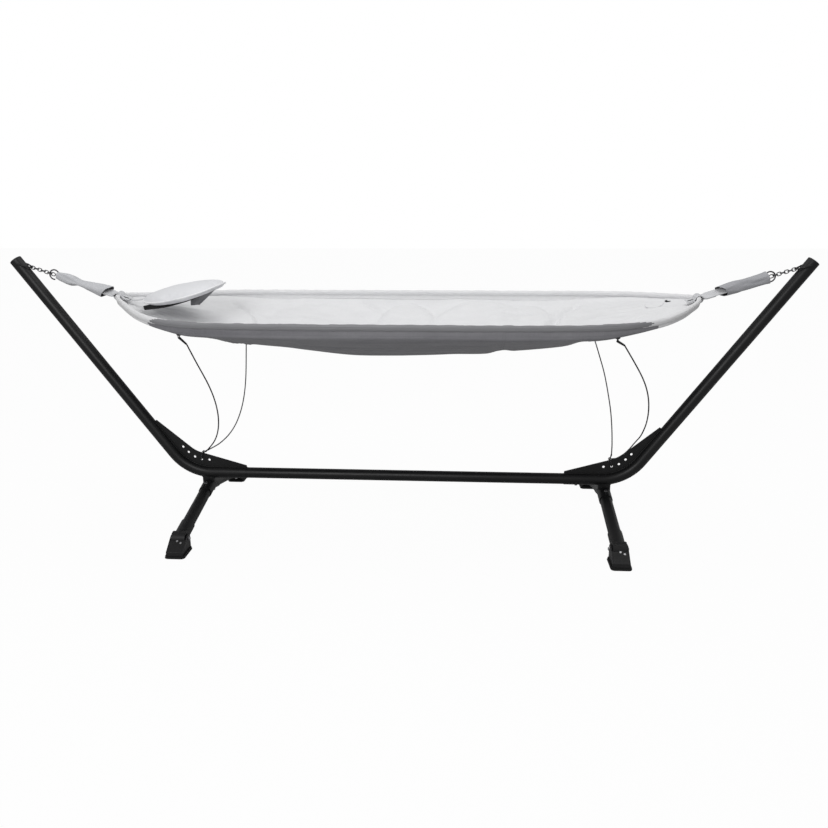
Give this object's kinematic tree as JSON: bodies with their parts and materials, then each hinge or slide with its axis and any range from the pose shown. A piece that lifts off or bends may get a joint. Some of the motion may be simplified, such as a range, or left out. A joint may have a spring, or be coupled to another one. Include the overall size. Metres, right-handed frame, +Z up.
{
  "type": "hammock with stand",
  "caption": "Free-standing hammock: a cloth bed on a stiff oval rim with a pillow, hung by chains and straps between the bent arms of a tubular steel stand with braced legs and tilting feet.",
  "frame": {"origin": "on the floor under the middle of the stand", "axes": "+X along the stand to the right, -Y to the viewer's side, +Z up"},
  "size_m": [3.1368, 0.9834, 1.0791],
  "materials": {
    "frame_coat": "satin black powder coat with a fine texture",
    "plated_steel": "zinc-plated fasteners",
    "hanging_steel": "zinc-plated chain, hooks and rings, slightly dull",
    "black_plastic": "moulded black plastic, lightly textured",
    "foot_rubber": "matt black rubber",
    "bed_fabric": "light grey woven cloth, matt, quilted over a thin filling",
    "sleeve_fabric": "light grey woven cloth tube",
    "pillow_fabric": "light grey woven cloth with piped edge",
    "webbing": "grey flat webbing",
    "dark_webbing": "black webbing",
    "rod_steel": "coated spring-steel rod",
    "cord_black": "black braided shock cord"
  },
  "bodies": {
    "stand": {"ankle_front_left": "black_plastic", "ankle_front_right": "black_plastic", "ankle_rear_left": "black_plastic", "ankle_rear_right": "black_plastic", "arm_caps": "frame_coat", "arm_eyes": "frame_coat", "arm_left": "frame_coat", "arm_right": "frame_coat", "centre_tube": "frame_coat", "gusset_left": "frame_coat", "gusset_right": "frame_coat", "leg_bolts": "plated_steel", "leg_bracket_left": "frame_coat", "leg_bracket_right": "frame_coat", "leg_front_left": "frame_coat", "leg_front_right": "frame_coat", "leg_nuts": "plated_steel", "leg_rear_left": "frame_coat", "leg_rear_right": "frame_coat", "splice_screws": "plated_steel", "tether_ends": "black_plastic", "tether_front_left": "cord_black", "tether_front_right": "cord_black", "tether_rear_left": "cord_black", "tether_rear_right": "cord_black", "tether_rings": "hanging_steel"},
    "hammock": {"chain_left": "hanging_steel", "chain_right": "hanging_steel", "s_hook_left": "hanging_steel", "s_hook_right": "hanging_steel", "strap_rings": "hanging_steel", "strap_left": "webbing", "strap_right": "webbing", "strap_sleeve_left": "sleeve_fabric", "strap_sleeve_right": "sleeve_fabric", "bed_cloth": "bed_fabric", "rim_hem": "bed_fabric", "rim_rods": "rod_steel", "rod_ferrules": "rod_steel", "pillow": "pillow_fabric", "pillow_tie": "webbing", "tether_tabs": "dark_webbing", "tether_hooks": "black_plastic"},
    "front_left_foot": {"foot_front_left": "black_plastic", "foot_pad_front_left": "foot_rubber", "pivot_bolt_front_left": "plated_steel", "foot_fasteners_front_left": "plated_steel"},
    "rear_left_foot": {"foot_rear_left": "black_plastic", "foot_pad_rear_left": "foot_rubber", "pivot_bolt_rear_left": "plated_steel", "foot_fasteners_rear_left": "plated_steel"},
    "front_right_foot": {"foot_front_right": "black_plastic", "foot_pad_front_right": "foot_rubber", "pivot_bolt_front_right": "plated_steel", "foot_fasteners_front_right": "plated_steel"},
    "rear_right_foot": {"foot_rear_right": "black_plastic", "foot_pad_rear_right": "foot_rubber", "pivot_bolt_rear_right": "plated_steel", "foot_fasteners_rear_right": "plated_steel"}
  },
  "joints": [
    {"name": "hammock_swing", "type": "hinge", "parent": "stand", "child": "hammock", "pos_m": [0, 0, 1.03606], "axis": [1, 0, 0], "range_deg": [-10, 10], "deforming": ["tether_front_left", "tether_rear_left", "tether_front_right", "tether_rear_right"]},
    {"name": "front_left_foot_tilt", "type": "hinge", "parent": "stand", "child": "front_left_foot", "pos_m": [-0.826, -0.38511, 0.05065], "axis": [1, 0, 0], "range_deg": [-10, 10]},
    {"name": "rear_left_foot_tilt", "type": "hinge", "parent": "stand", "child": "rear_left_foot", "pos_m": [-0.826, 0.38511, 0.05065], "axis": [1, 0, 0], "range_deg": [-10, 10]},
    {"name": "front_right_foot_tilt", "type": "hinge", "parent": "stand", "child": "front_right_foot", "pos_m": [0.826, -0.38511, 0.05065], "axis": [1, 0, 0], "range_deg": [-10, 10]},
    {"name": "rear_right_foot_tilt", "type": "hinge", "parent": "stand", "child": "rear_right_foot", "pos_m": [0.826, 0.38511, 0.05065], "axis": [1, 0, 0], "range_deg": [-10, 10]}
  ]
}
